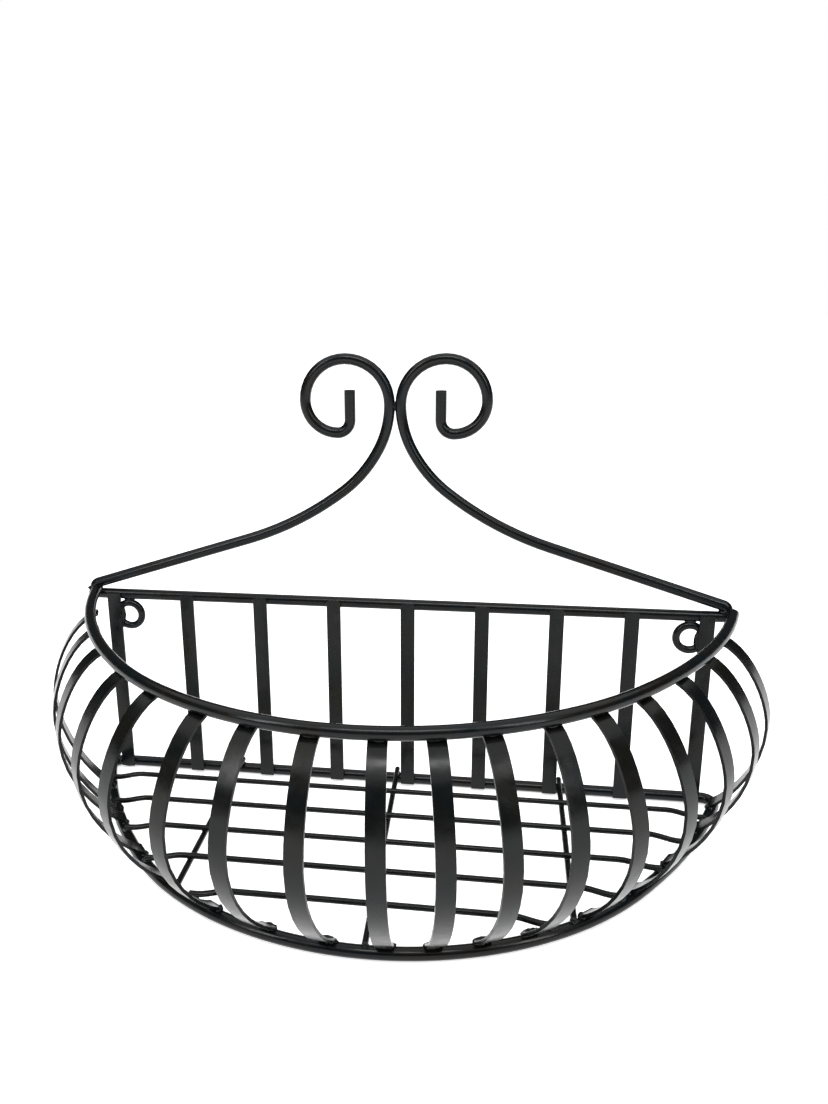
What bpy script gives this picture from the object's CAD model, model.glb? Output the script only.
"""Half-round hanging basket: paint, weld beads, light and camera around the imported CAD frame.

Metres, in the row frame: +X to the right, +Y to the wall, +Z up.
"""

import math

import bmesh
import bpy
import numpy as np
from mathutils import Matrix, Vector, noise
from mathutils.bvhtree import BVHTree


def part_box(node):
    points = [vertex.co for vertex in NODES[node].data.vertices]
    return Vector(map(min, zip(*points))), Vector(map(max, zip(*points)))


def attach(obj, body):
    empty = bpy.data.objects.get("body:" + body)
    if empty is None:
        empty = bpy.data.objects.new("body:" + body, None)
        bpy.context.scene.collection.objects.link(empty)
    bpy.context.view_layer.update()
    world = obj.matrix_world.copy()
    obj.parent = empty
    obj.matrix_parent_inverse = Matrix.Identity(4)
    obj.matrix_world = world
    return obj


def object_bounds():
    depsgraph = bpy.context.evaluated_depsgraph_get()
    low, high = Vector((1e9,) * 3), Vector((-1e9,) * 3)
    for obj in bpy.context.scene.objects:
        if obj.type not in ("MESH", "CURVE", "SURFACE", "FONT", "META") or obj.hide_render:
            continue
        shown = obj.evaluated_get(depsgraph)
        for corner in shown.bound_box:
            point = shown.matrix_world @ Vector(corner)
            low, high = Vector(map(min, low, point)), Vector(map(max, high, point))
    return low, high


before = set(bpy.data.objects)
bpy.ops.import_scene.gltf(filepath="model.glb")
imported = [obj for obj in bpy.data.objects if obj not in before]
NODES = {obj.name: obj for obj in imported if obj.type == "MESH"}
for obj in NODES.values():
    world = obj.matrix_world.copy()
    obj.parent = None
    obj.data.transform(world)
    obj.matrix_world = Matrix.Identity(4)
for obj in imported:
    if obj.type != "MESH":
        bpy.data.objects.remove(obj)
cad_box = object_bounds()

MM = 0.001


# ---- What the pieces are, from the frame ----
def names(start):
    return sorted(n for n in NODES if n.startswith(start))


RODS = ["top_rail", "rim_hoop", "base_frame", "scroll_left", "scroll_right"]
EYES = names("eye_")
BARS = names("back_bar_")
RIBS = names("rib_")
CROSS_WIRES = names("cross_wire_")
LONG_WIRES = names("floor_wire_")

rail_low, rail_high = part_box("top_rail")
rail_mid = (rail_low + rail_high) / 2
ROD_R = (rail_high.z - rail_low.z) / 2


# ---- Paint ----
PATCH_SIZE = 22 * MM
SHEEN_SIZE = 7 * MM
LUMP_SIZE = 6 * MM
PEEL_SIZE = 1.2 * MM
PEEL_DEPTH = 0.012 * MM
PAINT_SPECULAR = 0.2
BUMP_STRENGTH = 0.5


def shader(name):
    material = bpy.data.materials.new(name)
    material.use_nodes = True
    return material, material.node_tree.nodes, material.node_tree.links


def noise_node(nodes, links, coords, size, detail=3.0, rough=0.55):
    node = nodes.new("ShaderNodeTexNoise")
    node.inputs["Scale"].default_value = 1 / size
    node.inputs["Detail"].default_value = detail
    node.inputs["Roughness"].default_value = rough
    links.new(coords, node.inputs["Vector"])
    return node.outputs["Fac"]


def ramp(nodes, links, value, stops):
    node = nodes.new("ShaderNodeValToRGB")
    band = node.color_ramp
    while len(band.elements) < len(stops):
        band.elements.new(0.5)
    for element, (place, colour) in zip(band.elements, stops):
        element.position = place
        element.color = (*colour, 1) if len(colour) == 3 else colour
    links.new(value, node.inputs["Fac"])
    return node.outputs["Color"]


def bump(nodes, links, height, depth, strength, under=None):
    node = nodes.new("ShaderNodeBump")
    node.inputs["Distance"].default_value = depth
    node.inputs["Strength"].default_value = strength
    links.new(height, node.inputs["Height"])
    if under is not None:
        links.new(under, node.inputs["Normal"])
    return node.outputs["Normal"]


def paint(name, cool, warm, rough_low, rough_high, lump_depth):
    """Black satin paint brushed or dipped on steel: faint tint patches, uneven gloss, orange peel and lumps."""
    material, nodes, links = shader(name)
    coat = nodes["Principled BSDF"]
    coords = nodes.new("ShaderNodeTexCoord").outputs["Object"]
    patches = noise_node(nodes, links, coords, PATCH_SIZE, 2.0)
    tint = ramp(nodes, links, patches, [(0.36, cool), (0.64, warm)])
    links.new(tint, coat.inputs["Base Color"])
    sheen_map = noise_node(nodes, links, coords, SHEEN_SIZE, 4.0)
    gloss = ramp(nodes, links, sheen_map, [(0.3, (rough_low,) * 3), (0.7, (rough_high,) * 3)])
    links.new(gloss, coat.inputs["Roughness"])
    lumps = bump(nodes, links, noise_node(nodes, links, coords, LUMP_SIZE, 2.0), lump_depth, BUMP_STRENGTH)
    peel = bump(nodes, links, noise_node(nodes, links, coords, PEEL_SIZE, 2.0), PEEL_DEPTH, BUMP_STRENGTH, lumps)
    links.new(peel, coat.inputs["Normal"])
    coat.inputs["Specular IOR Level"].default_value = PAINT_SPECULAR
    return material


ROD_PAINT = paint("rod_paint", (0.0022, 0.0042, 0.0056), (0.0050, 0.0044, 0.0036), 0.14, 0.28, 0.12 * MM)
STRIP_PAINT = paint("strip_paint", (0.0026, 0.0038, 0.0044), (0.0048, 0.0046, 0.0037), 0.15, 0.3, 0.1 * MM)
WIRE_PAINT = paint("wire_paint", (0.0022, 0.003, 0.0034), (0.0036, 0.0036, 0.0032), 0.2, 0.34, 0.06 * MM)
WELD_PAINT = paint("weld_paint", (0.0022, 0.004, 0.0052), (0.005, 0.0044, 0.0036), 0.12, 0.28, 0.2 * MM)


JOIN_REACH = 0.002 * MM
SHARP_ANGLE = 50


def soften(node, edge):
    """Joins the facets of a CAD mesh, shades them as one surface and rounds its sharp edges."""
    mesh = node.data
    mesh.attributes.remove(mesh.attributes["custom_normal"])
    mesh.shade_smooth()
    join = node.modifiers.new("join", "WELD")
    join.merge_threshold = JOIN_REACH
    rounding = node.modifiers.new("rounding", "BEVEL")
    rounding.width = edge
    rounding.segments = 2
    rounding.limit_method = "ANGLE"
    rounding.angle_limit = math.radians(SHARP_ANGLE)
    rounding.harden_normals = True


def finish_nodes(members, material, edge):
    for name in members:
        soften(NODES[name], edge)
        NODES[name].data.materials.clear()
        NODES[name].data.materials.append(material)


finish_nodes(RODS + EYES, ROD_PAINT, 0.35 * MM)
finish_nodes(BARS + RIBS, STRIP_PAINT, 0.3 * MM)
finish_nodes(CROSS_WIRES + LONG_WIRES, WIRE_PAINT, 0.2 * MM)


# ---- Weld beads, found where two nodes come within WELD_REACH of each other. The rim's ends lie further
# from the upper rail than that, so they have none. ----
WELD_REACH = 0.4 * MM
SAMPLE_STEP = 0.5 * MM
ONE_WELD = 13 * MM
RIPPLE_LENGTH = 0.35 * MM
FEWEST_POINTS = 3
BEAD_KINDS = [
    # piece, starts of its two nodes' names, growth along, across and out of the contact
    ("welds_rib_heads", ("rib_", "rim_hoop"), (0.5, 0.8, 1.3)),
    ("welds_rib_feet", ("rib_", "base_frame"), (0.7, 1.3, 1.9)),
    ("welds_bars", ("back_bar_", "top_rail"), (0.6, 0.9, 1.3)),
    ("welds_bars", ("back_bar_", "base_frame"), (0.6, 0.9, 1.2)),
    ("welds_floor", ("cross_wire_", "base_frame"), (0.9, 0.9, 1.2)),
    ("welds_floor", ("cross_wire_", "floor_wire_"), (0.5, 0.5, 0.8)),
    ("welds_floor", ("floor_wire_", "base_frame"), (1.2, 1.2, 1.5)),
    ("welds_scroll", ("scroll_left", "scroll_right"), (0.8, 1.4, 1.6)),
    ("welds_scroll", ("scroll_", "top_rail"), (1.6, 1.6, 1.6)),
    ("welds_eyes", ("eye_", "back_bar_"), (0.8, 1.2, 1.2)),
    ("welds_eyes", ("eye_", "top_rail"), (1.0, 1.2, 1.3)),
]


def triangles(name):
    node = NODES[name]
    node.data.calc_loop_triangles()
    spots = np.array([node.matrix_world @ v.co for v in node.data.vertices])
    return spots[[tuple(t.vertices) for t in node.data.loop_triangles]]


def tree_of(name):
    corners = triangles(name)
    faces = np.arange(len(corners) * 3).reshape(-1, 3)
    return BVHTree.FromPolygons(corners.reshape(-1, 3).tolist(), faces.tolist())


def samples(name, low, high):
    """Points all over the part of a node's surface that lies inside a box."""
    found = []
    for triangle in triangles(name):
        if (triangle.max(axis=0) < low).any() or (triangle.min(axis=0) > high).any():
            continue
        sides = [np.linalg.norm(triangle[(k + 2) % 3] - triangle[(k + 1) % 3]) for k in range(3)]
        tip, left, right = np.roll(triangle, -int(np.argmin(sides)), axis=0)
        along = np.linspace(0, 1, 2 + int(max(sides) / SAMPLE_STEP))[:, None, None]
        across = np.linspace(0, 1, 2 + int(min(sides) / SAMPLE_STEP))[None, :, None]
        found.append((tip + along * (left - tip + across * (right - left))).reshape(-1, 3))
    spots = np.concatenate(found) if found else np.zeros((0, 3))
    return spots[((spots >= low) & (spots <= high)).all(axis=1)]


def contacts(first, second, tree):
    """Places where two nodes are welded, each as an array of points."""
    (low_a, high_a), (low_b, high_b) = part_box(first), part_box(second)
    low = np.maximum(low_a, low_b) - WELD_REACH
    high = np.minimum(high_a, high_b) + WELD_REACH
    if (low > high).any():
        return []
    groups = []
    for spot in samples(first, low, high):
        if tree.find_nearest(Vector(spot), WELD_REACH)[0] is None:
            continue
        near = [g for g in groups if np.linalg.norm(g[0] - spot) < ONE_WELD]
        if near:
            near[0].append(spot)
        else:
            groups.append([spot])
    return [np.array(g) for g in groups if len(g) >= FEWEST_POINTS]


def add_bead(mesh, spots, growth, seed):
    """A lumpy, rippled bead laid along a contact."""
    middle = spots.mean(axis=0)
    axes = np.linalg.svd(spots - middle, full_matrices=False)[2]
    reach = (spots - middle) @ axes.T
    middle = middle + axes.T @ ((reach.max(axis=0) + reach.min(axis=0)) / 2)
    half = np.ptp(reach, axis=0) / 2 + np.array(growth) * MM
    ball = bmesh.ops.create_icosphere(mesh, subdivisions=3, radius=1)["verts"]
    shift = Vector((seed * 3.7, seed * 1.3, seed * 2.1))
    for vert in ball:
        unit = vert.co.copy()
        lump = 1 + 0.2 * noise.noise(unit * 1.6 + shift) + 0.1 * noise.noise(unit * 4.2 + shift)
        ripple = 1 + 0.07 * math.cos(unit.x * half[0] / RIPPLE_LENGTH)
        size = Vector((half[0] * lump, half[1] * lump * ripple, half[2] * lump * ripple))
        vert.co = Vector(middle + axes.T @ np.array([unit.x * size.x, unit.y * size.y, unit.z * size.z]))


def lay_beads():
    beads = {}
    trees = {}
    seed = 1
    for piece, (start_a, start_b), growth in BEAD_KINDS:
        mesh = beads.setdefault(piece, bmesh.new())
        for first in names(start_a):
            for second in names(start_b):
                if second not in trees:
                    trees[second] = tree_of(second)
                for spots in contacts(first, second, trees[second]):
                    add_bead(mesh, spots, growth, seed)
                    seed += 1
    for piece, mesh in beads.items():
        data = bpy.data.meshes.new(piece)
        bmesh.ops.recalc_face_normals(mesh, faces=mesh.faces)
        mesh.to_mesh(data)
        mesh.free()
        data.shade_smooth()
        data.materials.append(WELD_PAINT)
        welds = bpy.data.objects.new(piece, data)
        bpy.context.collection.objects.link(welds)
        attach(welds, "root")


lay_beads()


# ---- Stage: a light table, so the floor stays white and shadows stay faint ----
FLOOR_GLOW = 0.6
FLOOR_SIDE = 40
FLOOR_DROP = 0.3 * MM


def stage_material():
    material, nodes, links = shader("stage")
    coat = nodes["Principled BSDF"]
    coat.inputs["Base Color"].default_value = (0.92, 0.92, 0.92, 1)
    coat.inputs["Roughness"].default_value = 0.9
    coat.inputs["Specular IOR Level"].default_value = 0.1
    coat.inputs["Emission Color"].default_value = (1, 1, 1, 1)
    coat.inputs["Emission Strength"].default_value = FLOOR_GLOW
    return material


def make_floor():
    bpy.ops.mesh.primitive_plane_add(size=FLOOR_SIDE, location=(0, 0, -FLOOR_DROP))
    floor = bpy.context.object
    floor.name = "floor"
    floor.data.materials.append(stage_material())


make_floor()


# ---- Light: a wide soft sky from above, three soft boxes in front, and a plain white surround ----
SKY_STRENGTH = 2.6
SKY_SPREAD = 100
SURROUND_ON_OBJECTS = 0.06


def soft_sky():
    data = bpy.data.lights.new("soft_sky", "SUN")
    data.energy = SKY_STRENGTH
    data.angle = math.radians(SKY_SPREAD)
    bpy.context.collection.objects.link(bpy.data.objects.new("soft_sky", data))


def soft_box(name, place, size, power, look_at):
    data = bpy.data.lights.new(name, "AREA")
    data.shape = "RECTANGLE"
    data.size, data.size_y = size
    data.energy = power
    light = bpy.data.objects.new(name, data)
    light.location = place
    light.rotation_euler = (look_at - Vector(place)).to_track_quat("-Z", "Y").to_euler()
    bpy.context.collection.objects.link(light)


def white_surround():
    world = bpy.data.worlds.new("world")
    world.use_nodes = True
    nodes, links = world.node_tree.nodes, world.node_tree.links
    rays = nodes.new("ShaderNodeLightPath")
    strength = nodes.new("ShaderNodeMapRange")
    strength.inputs["To Min"].default_value = SURROUND_ON_OBJECTS
    strength.inputs["To Max"].default_value = 1.0
    links.new(rays.outputs["Is Camera Ray"], strength.inputs["Value"])
    nodes["Background"].inputs["Color"].default_value = (1, 1, 1, 1)
    links.new(strength.outputs["Result"], nodes["Background"].inputs["Strength"])
    bpy.context.scene.world = world
    bpy.context.scene.view_settings.view_transform = "Standard"


middle = (cad_box[0] + cad_box[1]) / 2
soft_sky()
soft_box("front_left", (-1.3, -1.3, 1.3), (0.3, 1.2), 14, middle)
soft_box("front_right", (1.5, -1.1, 1.2), (0.3, 1.2), 13, middle)
soft_box("top_front", (0.1, -1.0, 1.9), (1.2, 0.3), 14, middle)
white_surround()


# ---- Camera: in front of the basket, a little to its right and above it, looking down ----
CAMERA_FROM_RAIL = Vector((0.0596, -0.4718, 0.1623))
CAMERA_YAW = 8.23
CAMERA_DOWN = 15.06
CAMERA_ROLL = -0.44
CAMERA_LENS = 28.8

camera_data = bpy.data.cameras.new("camera")
camera_data.sensor_fit = "AUTO"
camera_data.sensor_width = 36
camera_data.lens = CAMERA_LENS
camera_data.shift_x = 0.0306
camera_data.shift_y = -0.0056
camera_data.clip_start = 0.01
camera = bpy.data.objects.new("camera", camera_data)
turn = (
    Matrix.Rotation(math.radians(CAMERA_YAW), 4, "Z")
    @ Matrix.Rotation(math.radians(90 - CAMERA_DOWN), 4, "X")
    @ Matrix.Rotation(math.radians(CAMERA_ROLL), 4, "Z")
)
camera.matrix_world = Matrix.Translation(rail_mid + CAMERA_FROM_RAIL) @ turn
bpy.context.collection.objects.link(camera)
bpy.context.scene.camera = camera
